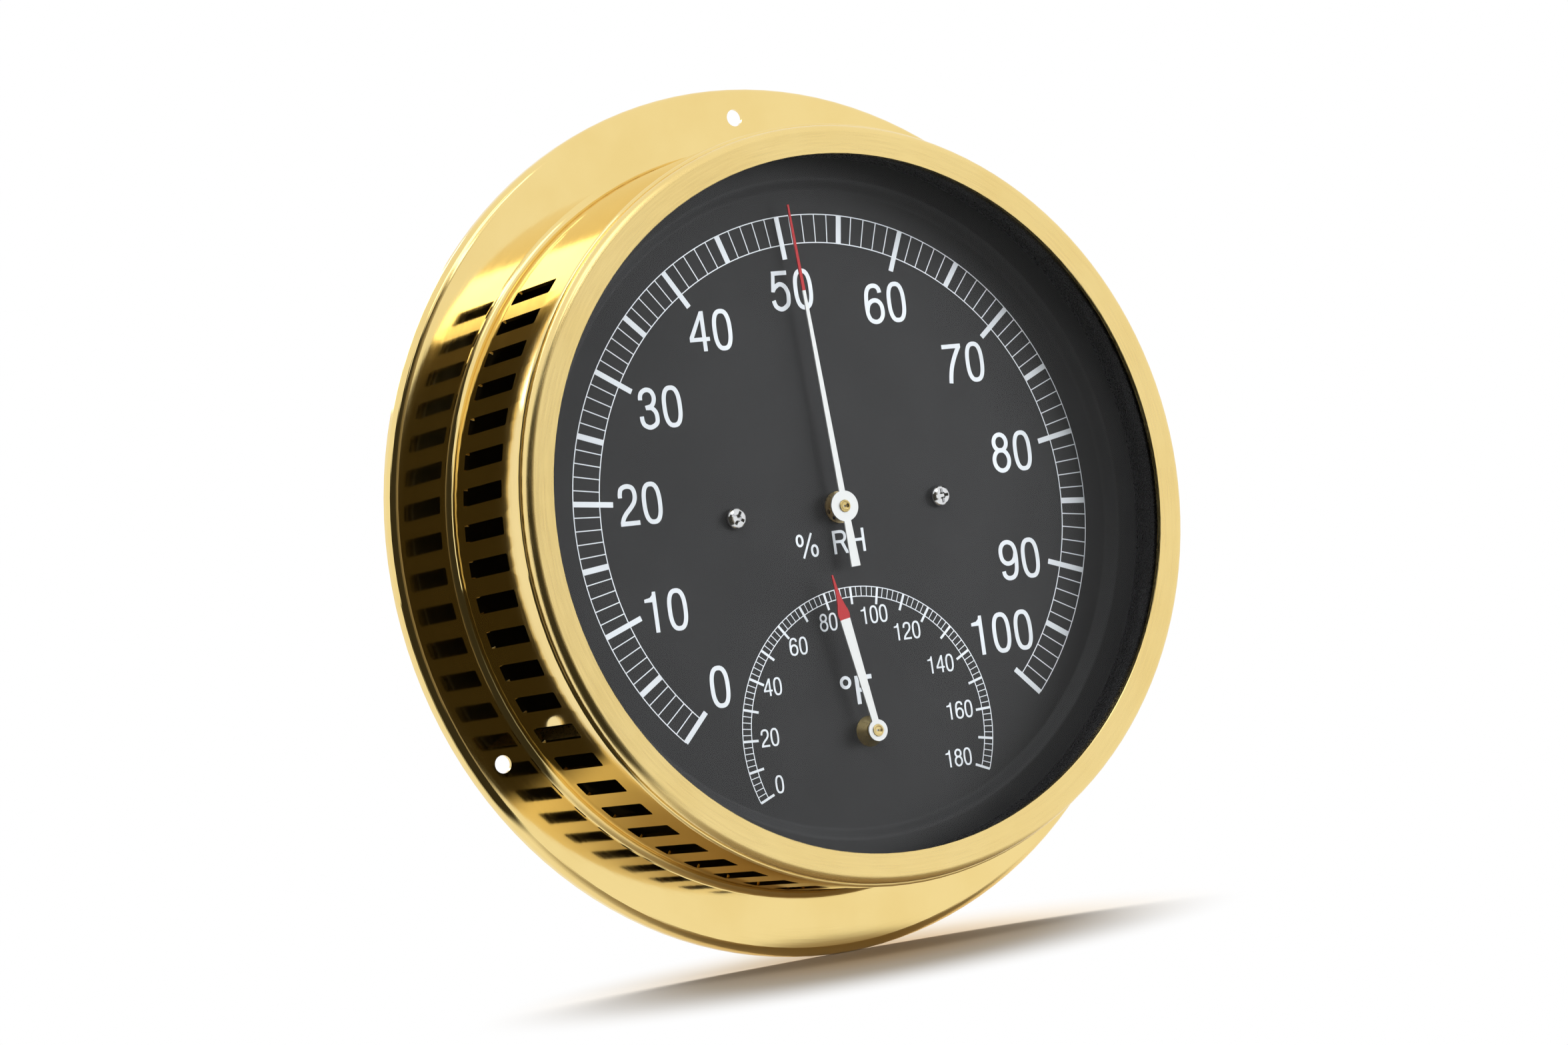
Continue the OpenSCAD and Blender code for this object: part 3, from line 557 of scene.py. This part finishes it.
def flat_print(name, faces):
    """Joins flat faces into one thin closed layer on the dial."""
    points, rings = [], []
    for face in faces:
        area = sum(a[0] * b[1] - a[1] * b[0] for a, b in zip(face, face[1:] + face[:1]))
        rings.append(list(range(len(points), len(points) + len(face))))
        points += [Vector(p) for p in (face if area > 0 else face[::-1])]
    verts, _, tris, _, _, covered = delaunay_2d_cdt(points, [], rings, INSIDE_ONLY, SAME_POINT, True)
    tris = [list(tri) for tri, faces_under in zip(tris, covered) if faces_under]
    edges = dict.fromkeys((a, b) for tri in tris for a, b in zip(tri, tri[1:] + tri[:1]))
    front = [(v.x * MM, -(DIAL_FACE + PRINT_THICK) * MM, v.y * MM) for v in verts]
    back = [(v.x * MM, -DIAL_FACE * MM, v.y * MM) for v in verts]
    to_back = len(verts)
    polygons = tris + [[i + to_back for i in reversed(tri)] for tri in tris]
    polygons += [[b, a, a + to_back, b + to_back] for a, b in edges if (b, a) not in edges]
    mesh = bpy.data.meshes.new(name)
    mesh.from_pydata(front + back, [], polygons)
    mesh.validate()
    mesh.materials.append(looks["print_white"])
    layer = bpy.data.objects.new(name, mesh)
    SCENE.collection.objects.link(layer)
    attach(layer, "root")


def humidity_turn(value):
    """Degrees clockwise from 12 o'clock for a reading, as the printed scale has it."""
    i = min(value // 10, len(HUMIDITY_TURNS) - 2)
    low, high = HUMIDITY_TURNS[i:i + 2]
    return low + (high - low) * (value - 10 * i) / 10


def humidity_scale():
    faces = []
    for radius in (HUMIDITY_OUTER, HUMIDITY_INNER):
        faces += ring(radius, HUMIDITY_LINE, HUMIDITY_TURNS[0], HUMIDITY_TURNS[-1], steps=200)
    for value in range(HUMIDITY_TOP + 1):
        inner, width = HUMIDITY_INNER, HUMIDITY_LINE
        if value in (0, HUMIDITY_TOP):
            inner, width = HUMIDITY_END, HUMIDITY_BOLD
        elif value % 10 == 0:
            inner, width = HUMIDITY_TEN, HUMIDITY_BOLD
        elif value % 5 == 0:
            width = HUMIDITY_FIVE
        faces += tick(inner, HUMIDITY_OUTER, humidity_turn(value), width)
    flat_print("humidity_scale", faces)


def humidity_numbers():
    faces = []
    for text, (x, y) in HUMIDITY_PLACES.items():
        middle = (x - NUMBERS_TURN * y, y + NUMBERS_TURN * x)
        faces += write(text, middle, height=9.7, pitch=6.44)
    flat_print("humidity_numbers", faces)


def humidity_unit():
    height = 5.7
    faces = write("%", (-10.2, -8.4), height) + write("RH", (1.6, -8.4), height, pitch=5.2)
    flat_print("humidity_unit", faces)


def thermometer_scale():
    faces = []
    for radius in (THERMO_OUTER, THERMO_INNER):
        faces += ring(radius, THERMO_LINE, THERMO_START, THERMO_START + THERMO_SPAN, steps=120)
    for value in range(0, THERMO_TOP + 1, 2):
        turn = THERMO_START + value * (THERMO_SPAN / THERMO_TOP)
        inner, width = (THERMO_INNER, THERMO_THIN) if value % 10 else (THERMO_TEN, THERMO_BOLD)
        faces += tick(inner, THERMO_OUTER, turn, width)
    lowered = [[(x, y - THERMO_DROP) for x, y in face] for face in faces]
    flat_print("thermometer_scale", lowered)


def thermometer_numbers():
    faces = []
    for text, middle in THERMO_PLACES.items():
        faces += write(text, middle, height=4.2, pitch=2.68)
    flat_print("thermometer_numbers", faces)


def thermometer_unit():
    degree = ribbon(oval(-4.9, -42.3, 1.2, 1.2, steps=32), width=0.8, closed=True)
    flat_print("thermometer_unit", degree + write("F", (0.15, -44.45), height=6.9))


humidity_scale()
humidity_numbers()
humidity_unit()
thermometer_scale()
thermometer_numbers()
thermometer_unit()


# Studio. Turns are from +X towards +Y, seen from above.

# Strength of the world's light on the object. What shows the world itself gets a strength of 1.
AMBIENT = 0.4

# The floor: its height at the flange's lowest point, its limits in x and y, and its two colours of
# painted shade where it takes the shadow, a warm brown in the middle and a paler brown further out
FLOOR_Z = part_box("case_shell")[0].z
FLOOR_X = (-1.2, 1.6)
FLOOR_Y = (-0.62, 1.9)
FLOOR_PAINTED_SHADE_MIDDLE = (0.37, 0.27, 0.16)
FLOOR_PAINTED_SHADE_OUTER = (0.5, 0.45, 0.385)

# The ellipse that takes the shadow and the painted shade: its middle, its turn and its two radii, and
# the shares of the radii where the warm painted shade ends and where the change to plain white starts
SHADE_MIDDLE = (-0.004, -0.022)
SHADE_TURN = math.radians(36)
SHADE_HALF = (0.14, 0.085)
SHADE_WARM = 0.7
SHADE_FADE = 0.4

# The part of the floor that looks dark in a mirror, painted shade that only mirrors see: it lies in
# front of the object and begins this far out in this direction, with an edge of this softness
DARK_TURN = math.radians(202)
DARK_FROM = 0.11
DARK_SOFT = 0.02

# The dark room behind the camera that brass and glass mirror: the direction of its middle and its
# half width, its height above the horizon and its half height, the softness of its edge, its colour,
# and the lighter colour that it turns to between these shares of its half width, towards +X
ROOM_TURN = math.radians(239)
ROOM_WIDE = math.radians(53)
ROOM_UP = math.radians(3)
ROOM_TALL = math.radians(30)
ROOM_SOFT = 0.06
ROOM_COLOUR = (0.038, 0.034, 0.024)
ROOM_LIGHTER = (0.26, 0.22, 0.16)
ROOM_LIGHTENS = (0.3, 0.85)

# Lamps: name, place, the point it faces, size, watts, and whether the object mirrors it
LAMPS = [
    ("top", (0.2, 0.5, 1.0), (0, -0.02, -0.1), (1.0, 0.4), 22, False),
    ("key", (1.05, -0.68, 0.02), (0, -0.02, 0), (0.7, 0.7), 35, False),
    ("fill", (-0.4, -0.7, 1.1), (0, -0.02, 0), (0.6, 0.6), 4, False),
    ("glint", (0.05, -1.32, 0.71), (0, -0.02, 0), (0.3, 0.3), 0.8, True),
    ("high", (-0.35, -0.95, 1.2), (0, -0.02, 0), (0.7, 0.5), 1.6, True),
    ("behind", (-0.29, 1.27, 0.75), (-0.05, 0, 0), (0.5, 0.5), 2.2, True),
]

# The photograph's camera: its pitch and swing and the object's turn about the dial's axis, in degrees,
# the middle of the case's front as seen from it (right, down and ahead, in metres), its lens and the
# width of its sensor in mm, what is too near for it to see, and the front's distance from the wall
CAMERA_PITCH = -6.209
CAMERA_SWING = -29.848
CAMERA_ROLL = -5.6
CAMERA_TO_FRONT = (0.02066, -0.00532, 0.94468)
CAMERA_LENS = 90.78
CAMERA_SENSOR = 36
CAMERA_NEAR = 0.01
CASE_DEPTH = -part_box("bezel")[0].y


def shown(look):
    """1 for the rays that show the backdrop itself: camera, glossy and transmission rays.

    A ray that has lit a rough surface on its way takes the plain light instead."""
    path = look.put("ShaderNodeLightPath").outputs
    mirrored = look.calc("ADD", path["Is Glossy Ray"], path["Is Transmission Ray"])
    direct = look.calc("LESS_THAN", path["Diffuse Depth"], 0.5)
    return look.calc("MULTIPLY", direct, look.calc("ADD", path["Is Camera Ray"], mirrored, clamp=True))


def glossy(look):
    """1 for the rays that show the backdrop in a mirror."""
    return look.put("ShaderNodeLightPath").outputs["Is Glossy Ray"]


def glowing(look, kind, colour, strength=1.0):
    """An Emission or Background shader."""
    node = look.put(kind)
    look.link(colour, node.inputs["Color"])
    look.link(strength, node.inputs["Strength"])
    return node.outputs[0]


def shadow_with_painted_shade(look, vector):
    """Takes the lamps' shadow inside the ellipse, deepened there by painted shade, and is plain white
    further off.
    """
    place = look.put("ShaderNodeMapping", vector_type="TEXTURE")
    look.link(vector, place.inputs["Vector"])
    look.link((*SHADE_MIDDLE, FLOOR_Z), place.inputs["Location"])
    look.link((0, 0, SHADE_TURN), place.inputs["Rotation"])
    look.link((*SHADE_HALF, 1), place.inputs["Scale"])
    off = look.length(place.outputs[0])
    # The painted shade that darkens the floor round the shadow, warm in the middle and paler further out
    near = look.mix(look.ramp(off, 0.0, SHADE_WARM), rgba(FLOOR_PAINTED_SHADE_MIDDLE), rgba(FLOOR_PAINTED_SHADE_OUTER))
    far = look.ramp(off, SHADE_FADE, 1.0)
    diffuse = look.put("ShaderNodeBsdfDiffuse")
    look.link(look.mix(far, near, rgba(BLACK)), diffuse.inputs["Color"])
    glow = glowing(look, "ShaderNodeEmission", look.mix(far, rgba(BLACK), rgba(WHITE)), shown(look))
    both = look.put("ShaderNodeAddShader")
    look.link(diffuse.outputs[0], both.inputs[0])
    look.link(glow, both.inputs[1])
    return both.outputs[0]


def mirrored_painted_shade(look, vector, y):
    """1 where a mirrored ray meets the floor's painted shade, which only mirrors see."""
    left = look.ramp(look.towards(vector, DARK_TURN), DARK_FROM, DARK_FROM + DARK_SOFT)
    front = look.ramp(y, -DARK_SOFT, DARK_SOFT, 1.0, 0.0)
    return look.calc("MULTIPLY", look.calc("MULTIPLY", left, front), glossy(look))


def floor():
    """White table top: the object's shadow deepened by painted shade, painted shade on one side in
    mirrors, clear from below.
    """
    (x0, x1), (y0, y1) = FLOOR_X, FLOOR_Y
    mesh = bpy.data.meshes.new("floor")
    corners = [(x0, y0, FLOOR_Z), (x1, y0, FLOOR_Z), (x1, y1, FLOOR_Z), (x0, y1, FLOOR_Z)]
    mesh.from_pydata(corners, [], [[0, 1, 2, 3]])
    table = bpy.data.objects.new("floor", mesh)
    SCENE.collection.objects.link(table)
    look = Nodes(bpy.data.materials.new("floor"))
    vector, (_, y, _) = look.place()
    # The dark room's colour, used on the floor as painted shade that only mirrors see
    room = glowing(look, "ShaderNodeEmission", rgba(ROOM_COLOUR))
    top = look.mix_shader(mirrored_painted_shade(look, vector, y), shadow_with_painted_shade(look, vector), room)
    below = look.put("ShaderNodeNewGeometry").outputs["Backfacing"]
    clear = look.put("ShaderNodeBsdfTransparent").outputs[0]
    look.link(look.mix_shader(below, top, clear), look.out)
    mesh.materials.append(look.owner)


def world():
    """White all round. What mirrors it also sees a dark room behind the camera, lighter towards +X."""
    look = Nodes(bpy.data.worlds.new("studio"), "ShaderNodeOutputWorld")
    SCENE.world = look.owner
    way = look.put("ShaderNodeTexCoord").outputs["Generated"]
    split = look.put("ShaderNodeSeparateXYZ")
    look.link(way, split.inputs[0])
    ahead = look.towards(way, ROOM_TURN)
    beside = look.towards(way, ROOM_TURN + math.pi / 2)
    across = look.calc("DIVIDE", look.calc("ARCTAN2", beside, ahead), ROOM_WIDE)
    rise = look.calc("SUBTRACT", look.calc("ARCSINE", split.outputs[2]), ROOM_UP)
    off = look.length(look.join(across, look.calc("DIVIDE", rise, ROOM_TALL), 0.0))
    inside = look.ramp(off, 1 - ROOM_SOFT, 1 + ROOM_SOFT, 1.0, 0.0)
    room = look.mix(look.ramp(across, *ROOM_LIGHTENS), rgba(ROOM_COLOUR), rgba(ROOM_LIGHTER))
    dark = look.calc("MULTIPLY", inside, glossy(look))
    seen = glowing(look, "ShaderNodeBackground", look.mix(dark, rgba(WHITE), room))
    light = glowing(look, "ShaderNodeBackground", rgba(WHITE), AMBIENT)
    look.link(look.mix_shader(shown(look), light, seen), look.out)


def softbox(name, place, aim, size, watts, mirrored):
    """A square or oblong lamp that faces aim."""
    data = bpy.data.lights.new(name, "AREA")
    data.shape = "RECTANGLE"
    data.size, data.size_y = size
    data.energy = watts
    lamp = bpy.data.objects.new(name, data)
    lamp.location = place
    lamp.rotation_euler = (Vector(aim) - Vector(place)).to_track_quat("-Z", "Y").to_euler()
    lamp.visible_glossy = mirrored
    SCENE.collection.objects.link(lamp)


def camera():
    """The photograph's camera: it looks at the dial from the left and above."""
    roll = math.radians(CAMERA_ROLL)
    level, rise = math.cos(roll), math.sin(roll)
    about = Matrix(((level, 0, rise), (0, 1, 0), (-rise, 0, level)))
    right_down_ahead = Matrix(((1, 0, 0), (0, 0, -1), (0, 1, 0)))
    pitch = Matrix.Rotation(math.radians(CAMERA_PITCH), 3, "X")
    swing = Matrix.Rotation(math.radians(CAMERA_SWING), 3, "Y")
    turn = swing @ pitch @ right_down_ahead @ about
    place = -(turn.transposed() @ Vector(CAMERA_TO_FRONT)) - Vector((0, CASE_DEPTH, 0))
    facing = turn.transposed() @ Matrix(((1, 0, 0), (0, -1, 0), (0, 0, -1)))
    data = bpy.data.cameras.new("camera")
    data.lens = CAMERA_LENS
    data.sensor_width = CAMERA_SENSOR
    data.sensor_fit = "HORIZONTAL"
    data.clip_start = CAMERA_NEAR
    viewer = bpy.data.objects.new("camera", data)
    viewer.matrix_world = Matrix.Translation(place) @ facing.to_4x4()
    SCENE.collection.objects.link(viewer)
    SCENE.camera = viewer


floor()
world()
for lamp in LAMPS:
    softbox(*lamp)
camera()
SCENE.view_settings.view_transform = "Standard"
